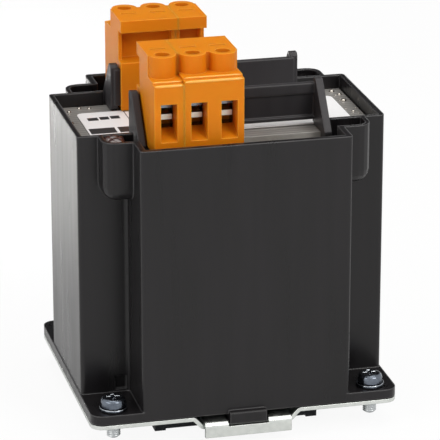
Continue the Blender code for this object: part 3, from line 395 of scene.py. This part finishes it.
core_steel, tree, place = new_finish("core_steel_varnished")
soft_edge = rounded_edge(tree, 0.0003, 4)
lines = put(tree, "ShaderNodeTexWave", {"Vector": place, "Scale": SHEET_LINE_SCALE, "Distortion": 0.6,
                                        "Detail": 2.0, "Detail Scale": 0.6}, bands_direction="Y").outputs[0]
stain = noise(tree, place, 120.0, detail=4.0, roughness=0.65)
shade = blend(tree, lines, "#93908C", blend(tree, stain, "#C4C2BD", "#97948F"))
relief = raised(tree, lines, 0.00004, 0.3, soft_edge)
relief = raised(tree, stain, 0.0006, 0.25, relief)
surface(tree, shade, {"Metallic": 0.25, "Roughness": 0.34, "Normal": relief,
                      "Coat Weight": 0.6, "Coat Roughness": 0.12})
dress(core_steel, "core_e_stack", "core_i_stack")


# Varnish: what ran off when the core was dipped. It has dried as clear brown drops on the top
# of the core and as dark red-brown pools between the core and the corners of the housing.
def drops(places, spans, heights, base):
    """Sessile drops: a circle of radius span that shrinks as the cosine of the climb while it
    rises as the sine, and closes flat underneath."""
    climb = np.linspace(0, np.pi / 2, 5)
    rim = np.concatenate([[0.0], np.cos(climb)])
    rise = np.concatenate([[0.0], np.sin(climb)])
    turn = np.linspace(0, 2 * np.pi, 13)
    x = places[:, 0, None, None] + spans[:, None, None] * rim[None, :, None] * np.cos(turn)
    y = places[:, 1, None, None] + spans[:, None, None] * rim[None, :, None] * np.sin(turn)
    z = base + heights[:, None, None] * rise[None, :, None] * np.ones_like(turn)
    return np.stack([x, y, z], axis=-1)


# Middles of the larger drops, in millimetres from the core's middle, as the photo shows them.
LARGE_DROPS = [(44.6, 19.0), (46.2, 15.2), (45.6, 8.2), (-37.4, 19.4), (-44.6, 17.0), (45.4, -4.0),
               (-46.4, 4.5), (41.0, 18.4), (-40.6, 20.2), (46.6, -13.5), (-46.8, -14.0), (38.2, 20.4)]
SMALL_DROPS = 30
DROP_HEIGHT = 0.7                   # of its radius
SUNK = 0.00002                      # how far a film starts under the face that it lies on

varnish_clear, tree, place = new_finish("varnish_baked_drop")
cloud = noise(tree, place, 1400.0, detail=2.0)
surface(tree, blend(tree, cloud, "#ADA9A2", "#978F84"),
        {"Metallic": 0.9, "Roughness": 0.06, "Coat Weight": 1.0, "Coat Roughness": 0.03})
chance = np.random.default_rng(11)
small_x = chance.choice([-1, 1], SMALL_DROPS) * chance.uniform(0.0437, 0.0472, SMALL_DROPS)
small_y = chance.uniform(-0.019, 0.021, SMALL_DROPS)
spots = np.concatenate([np.array(LARGE_DROPS) / 1000, np.stack([small_x, small_y], axis=-1)])
spots[:, 1] += core_middle_y
large_spans = chance.uniform(0.0006, 0.0011, len(LARGE_DROPS))
spans = np.concatenate([large_spans, chance.uniform(0.00015, 0.0004, SMALL_DROPS)])
settle(skin("varnish_drops", drops(spots, spans, spans * DROP_HEIGHT, core_top - SUNK)), varnish_clear,
       "transformer")

POOL_X, POOL_Y = 0.0387, 0.0267
POOL_HALF_X, POOL_HALF_Y = 0.0030, 0.0042
POOL_DEPTH = 0.0035
POOL_SWELL = 0.00045
POOL_SAG = 0.0006


def pool(middle, top, seed):
    """Hardened pool: rings that widen to a rounded oblong, its top a sum of three slow sines
    that sags to the rim, then straight down to a flat floor."""
    turn = np.linspace(0, 2 * np.pi, 49)
    out = np.concatenate([np.linspace(0, 1, 9), [1.0, 0.0]])[:, None]
    square = (np.abs(np.cos(turn)) ** 4 + np.abs(np.sin(turn)) ** 4) ** -0.25
    x = POOL_HALF_X * out * square * np.cos(turn)
    y = POOL_HALF_Y * out * square * np.sin(turn)
    swell = sum(np.sin(x * wave + seed * 1.7) * np.cos(y * wave * 1.3 + seed) / count
                for count, wave in ((1, 900.0), (2, 1700.0), (3, 2900.0)))
    z = top + POOL_SWELL * swell - POOL_SAG * out ** 4
    z[-2:] = top - POOL_DEPTH
    return np.stack([middle[0] + x, middle[1] + y, z], axis=-1)


varnish_dark, tree, place = new_finish("varnish_baked_pool")
cloud = noise(tree, place, 420.0, detail=4.0)
surface(tree, blend(tree, cloud, "#4A2A22", "#22100D"),
        {"Roughness": 0.22, "Coat Weight": 0.5, "Coat Roughness": 0.08})
pools = [pool((side_x * POOL_X, core_middle_y + side_y * POOL_Y), core_top + rise, 2 + side_x + 2 * side_y)
         for side_x, side_y, rise in ((-1, -1, 0.0044), (1, 1, 0.0012), (-1, 1, 0.0006), (1, -1, 0.0009))]
settle(skin("varnish_pools", np.stack(pools)), varnish_dark, "transformer")


# Bobbin: natural glass-filled nylon, cream and slightly waxy, one moulding with two flanges.
# The glass shows as a soft mottle.
nylon_natural, tree, place = new_finish("nylon_natural_moulded")
mottle = noise(tree, place, 260.0, detail=4.0)
surface(tree, blend(tree, mottle, "#D2C9B2", "#BBAF93"),
        {"Roughness": 0.45, "Normal": rounded_edge(tree, 0.0003, 4)})
dress(nylon_natural, "bobbin")


# Windings: enamelled copper wire laid turn beside turn, so the colour and the relief go in
# rings along the height of the coil. A ring is 3.2 mm high and stands for four turns of wire.
WIRE_RING_SCALE = 98.0

enamelled_copper, tree, place = new_finish("copper_enamelled_turns")
turns = put(tree, "ShaderNodeTexWave", {"Vector": place, "Scale": WIRE_RING_SCALE, "Distortion": 0.15},
            bands_direction="Z").outputs[0]
surface(tree, blend(tree, turns, "#4A1E0E", "#A8502A"),
        {"Roughness": 0.25, "Metallic": 0.5, "Normal": raised(tree, turns, 0.0003, 0.8),
         "Coat Weight": 0.6, "Coat Roughness": 0.1})
dress(enamelled_copper, "primary_winding", "secondary_winding")


# Wrap: polyester film tape round the finished coil, smooth and glossy, with amber clouds
# where the varnish has soaked in.
film_tape, tree, place = new_finish("polyester_film_tape")
surface(tree, blend(tree, noise(tree, place, 90.0, detail=4.0), "#B9923F", "#7C4F22"), {"Roughness": 0.22})
dress(film_tape, "coil_wrap")


# Terminal modules: orange self-extinguishing nylon, moulded smooth. Light goes a little way
# in, so thin walls glow and the recesses turn red.
nylon_orange, tree, place = new_finish("nylon_orange_moulded")
soft_edge = rounded_edge(tree, 0.0004, 6)
flow = noise(tree, place, 130.0, detail=3.0)
shade = blend(tree, flow, "#D9810E", "#D07609")
# Painted highlight: the edges turn a paler orange.
shade = blend(tree, edge_wear_and_highlight(tree, soft_edge, 0.97, 0.80), shade, "#EDA53C")
surface(tree, shade, {"Roughness": 0.48, "Normal": raised(tree, flow, 0.0002, 0.1, soft_edge), "IOR": 1.26,
                      "Subsurface Weight": 0.35, "Subsurface Scale": 0.004,
                      "Subsurface Radius": (1.0, 0.4, 0.06)})
dress(nylon_orange, "terminal_single_front", "terminal_double_front", "terminal_single_rear",
      "terminal_double_rear")


# Joints and beads of the terminals: the modules snap together on a thin web between them, set
# in from their faces, and each has a rounded bead along the two front edges of its ledge. The
# beads' paler, yellower orange is a painted highlight.
def plank(name, profile, low_x, high_x):
    """Flat plate: one closed profile in Y and Z at its low and its high X, joined all round."""
    count = len(profile)
    points = np.concatenate([np.column_stack([np.full(count, x), profile]) for x in (low_x, high_x)])
    here = np.arange(count)
    after = np.roll(here, -1)
    faces = np.column_stack([here, after, after + count, here + count]).tolist()
    faces += [here[::-1].tolist(), (here + count).tolist()]
    return solid(name, points, faces, smooth=False)


def bead(low_x, high_x, y, z, radius):
    """Straight round bead: a circle swept along X, its radius drawn in to 0.6 and then to
    nothing at both ends."""
    turn = np.linspace(0, 2 * np.pi, 13)
    along = np.array([0.0, 0.0, 0.08, 0.92, 1.0, 1.0])[:, None]
    swell = radius * np.array([0.0, 0.6, 1.0, 1.0, 0.6, 0.0])[:, None]
    x = low_x + (high_x - low_x) * along + 0 * turn
    return np.stack([x, y + swell * np.cos(turn), z + swell * np.sin(turn)], axis=-1)


BODY_DEPTH = 0.0213                 # of a module, from its outer face
BODY_ABOVE_CORE = 0.001
OVERHANG = 0.0040                   # of the top beyond the body, and its thickness
DOUBLE_LEDGE_DROP = 0.0060          # from the top
SINGLE_LEDGE_DROP = 0.0069
LEDGE_DEPTH = 0.0093
LEDGE_STEP = 0.0006
LEDGE_STEP_WIDTH = 0.0023
WEB_INSET = 0.00004
WEB_PLAY = 0.00001
BEAD_END = 0.0002

beads = []
for row, side in (("front", -1), ("rear", 1)):
    boxes = [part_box(f"terminal_{kind}_{row}") for kind in ("single", "double")]
    left, right = sorted(boxes, key=lambda box: box[0][0])
    top = boxes[1][1][2]
    outer = max(abs(boxes[1][0][1] - core_middle_y), abs(boxes[1][1][1] - core_middle_y))
    face, back = outer - WEB_INSET, outer - BODY_DEPTH + WEB_INSET
    step, wall = face - LEDGE_STEP_WIDTH, face - LEDGE_DEPTH
    bottom = core_top + BODY_ABOVE_CORE
    ledge, roof = top - SINGLE_LEDGE_DROP - WEB_INSET, top - WEB_INSET
    under = top - OVERHANG + WEB_INSET
    profile = np.array([(back, bottom), (face, bottom), (face, ledge - LEDGE_STEP),
                        (step, ledge - LEDGE_STEP), (step, ledge), (wall, ledge), (wall, roof),
                        (back - OVERHANG, roof), (back - OVERHANG, under), (back, under)])
    profile[:, 0] = core_middle_y + side * profile[:, 0]
    web = plank(f"terminal_web_{row}", profile, left[1][0] + WEB_PLAY, right[0][0] - WEB_PLAY)
    settle(web, nylon_orange, "transformer")
    for (low, high), drop in zip(boxes, (SINGLE_LEDGE_DROP, DOUBLE_LEDGE_DROP)):
        for inward, fall, radius in ((0.0002, 0.0008, 0.00042), (0.0025, 0.0002, 0.00034)):
            beads.append(bead(low[0] + BEAD_END, high[0] - BEAD_END, core_middle_y + side * (outer - inward),
                              top - drop - fall, radius))
# Painted highlight: the beads are a paler orange than the modules.
bead_painted_highlight, tree, place = new_finish("nylon_orange_bead_painted_highlight")
flow = noise(tree, place, 350.0, detail=3.0)
surface(tree, blend(tree, flow, "#F4B04A", "#EAA034"), {"Roughness": 0.2, "IOR": 1.55})
settle(skin("terminal_beads", np.stack(beads)), bead_painted_highlight, "transformer")


# Clamps and their screws: zinc plated and bright, with a faint blue cast from the passivation
# and clouds in the gloss.
zinc_plated, tree, place = new_finish("zinc_plated_blue")
soft_edge = rounded_edge(tree, 0.0003, 6)
cloud = noise(tree, place, 500.0, detail=3.0)
surface(tree, blend(tree, cloud, "#888F96", "#666D74"),
        {"Metallic": 1.0, "Roughness": scaled(tree, cloud, 0.16, 0.32), "Normal": soft_edge})
dress_all(zinc_plated, "clamp_")


# Base screws: passivated zinc on M4 steel, blue-grey, with a painted highlight of pale grey along
# the rims where they would catch the lamps. The thread that shows under the plate has paler flanks.
zinc_passivated, tree, place = new_finish("zinc_plated_passivated")
soft_edge = rounded_edge(tree, 0.0005, 6)
cloud = noise(tree, place, 600.0, detail=3.0)
shade = blend(tree, cloud, "#7A818B", "#4D545E")
# Painted highlight: pale grey on the rims.
shade = blend(tree, edge_wear_and_highlight(tree, soft_edge, 0.96, 0.75), shade, "#D5DADF")
surface(tree, shade, {"Metallic": 1.0, "Roughness": 0.2, "Normal": soft_edge})
dress_all(zinc_passivated, "base_screw", "washer")

THREAD_PITCH = 0.0007
THREAD_ROOT = 0.00204               # radius
THREAD_CREST = 0.00018              # above the root
SCREW_POINT = 0.0005                # plain length at the tip
PLATE_BELOW_CORE = 0.0868           # the plate's underside, from the core's top


def thread(axis_x, axis_y, bottom, top):
    """M4 thread: the radius goes from root to crest and back as a triangle wave of height over
    pitch less angle over a turn, and both ends close on the axis."""
    turn = np.linspace(0, 2 * np.pi, 25)
    height = np.linspace(bottom, top, 41)
    phase = (height[:, None] / THREAD_PITCH - turn / (2 * np.pi)) % 1
    radius = THREAD_ROOT + THREAD_CREST * (1 - np.abs(2 * phase - 1))
    centre = np.zeros((1, len(turn)))
    radius = np.concatenate([centre, radius, centre])
    height = np.concatenate([[bottom], height, [top]])[:, None] * np.ones_like(turn)
    return np.stack([axis_x + radius * np.cos(turn), axis_y + radius * np.sin(turn), height], axis=-1)


threads = []
for count in (1, 2, 3, 4):
    low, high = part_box(f"base_screw_{count}")
    threads.append(thread((low[0] + high[0]) / 2, (low[1] + high[1]) / 2, low[2] + SCREW_POINT,
                          core_top - PLATE_BELOW_CORE))
thread_steel, tree, place = new_finish("zinc_plated_thread")
cloud = noise(tree, place, 1600.0, detail=3.0)
surface(tree, blend(tree, cloud, "#C2C5C6", "#ADB1B3"),
        {"Metallic": 1.0, "Roughness": scaled(tree, cloud, 0.24, 0.38)})
settle(skin("base_screw_threads", np.stack(threads)), thread_steel, "transformer")


# Contact bars: brass strip under a matt coat of tin, grey with a warm cast where the coat is
# thin.
tinned_brass, tree, place = new_finish("brass_tinned")
cloud = noise(tree, place, 700.0)
surface(tree, blend(tree, cloud, "#DAD6CC", "#C4BBA6"), {"Metallic": 1.0, "Roughness": 0.34})
dress_all(tinned_brass, "contact_bar")


# Leads: wire ends in woven glass sleeve, soaked dark red-brown by the varnish, the weave
# still felt as a fine relief.
glass_sleeve, tree, place = new_finish("glass_sleeve_varnished")
braid = put(tree, "ShaderNodeTexVoronoi", {"Vector": place, "Scale": 2500.0}).outputs["Distance"]
surface(tree, blend(tree, braid, "#6A2C20", "#38150F"),
        {"Roughness": 0.35, "Normal": raised(tree, braid, 0.0001, 0.5)})
dress_all(glass_sleeve, "lead_")


# Rating label: coated white card laid on the core between the two carriers, with a barely
# seen unevenness from its fibres.
label_card, tree, place = new_finish("card_coated_white")
surface(tree, blend(tree, noise(tree, place, 900.0, detail=4.0), "#FAFAFA", "#F5F5F5"), {"Roughness": 0.42})
dress(label_card, "rating_label")


# Print on the label: plain bars and boxes of black ink in place of words, the same weight and
# spread as a rating label has.
INK_THICKNESS = 0.00005


def slabs(low_x, low_y, wide, deep, base):
    """Flat boxes: the four corners in turn at the bottom and at the top, each end drawn in to
    the middle of the box."""
    corner_x = np.array([0, 1, 1, 0, 0.0])
    corner_y = np.array([0, 0, 1, 1, 0.0])
    middle = np.full(5, 0.5)
    ring_x = np.stack([middle, corner_x, corner_x, middle])
    ring_y = np.stack([middle, corner_y, corner_y, middle])
    x = low_x[:, None, None] + wide[:, None, None] * ring_x
    y = low_y[:, None, None] + deep[:, None, None] * ring_y
    z = np.broadcast_to((base + INK_THICKNESS * np.array([0, 0, 1, 1.0]))[:, None], x.shape)
    return np.stack([x, y, z], axis=-1)


ink, tree, place = new_finish("ink_printed_black")
surface(tree, blend(tree, noise(tree, place, 1500.0, detail=3.0), "#2C2C2E", "#18181A"), {"Roughness": 0.5})

# Each row: left, front, width, depth in millimetres, with the core's middle as zero. The left
# end has three heading bars, a ruled box and filled fields; the rest is rows of broken bars.
HEADING = [(-40.6, 4.6, 3.4, 3.0), (-36.6, 4.9, 3.0, 3.0), (-33.0, 5.2, 3.0, 3.0)]
RULED_BOX = [(-27.6, 2.2, 9.0, 0.25), (-27.6, 12.2, 9.0, 0.25), (-27.6, 2.2, 0.25, 10.2),
             (-18.8, 2.2, 0.25, 10.2)]
FILLED = [(-42.4, -9.4, 8.4, 5.6), (-33.0, -9.4, 4.6, 5.6), (-27.4, -9.4, 5.4, 5.6)]
ROWS_FRONT, ROWS_BACK, ROW_SPACING = -9.0, 12.0, 2.6
ROWS_LEFT, LAST_START, ROWS_RIGHT = -16.0, 38.0, 39.0
BAR_DEPTH = 1.15

fields = HEADING + RULED_BOX + FILLED
chance = np.random.default_rng(5)
for front in np.arange(ROWS_FRONT, ROWS_BACK, ROW_SPACING):
    left = ROWS_LEFT
    while left < LAST_START:
        wide = float(chance.uniform(1.2, 5.5))
        if left + wide < ROWS_RIGHT:
            fields.append((left, float(front), wide, BAR_DEPTH))
        left += wide + float(chance.uniform(0.6, 2.4))
low_x, low_y, wide, deep = np.array(fields).T / 1000
label_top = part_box("rating_label")[1][2]
print_marks = slabs(low_x, low_y + core_middle_y, wide, deep, label_top - SUNK)
settle(skin("label_print", print_marks, smooth=False), ink, "transformer")
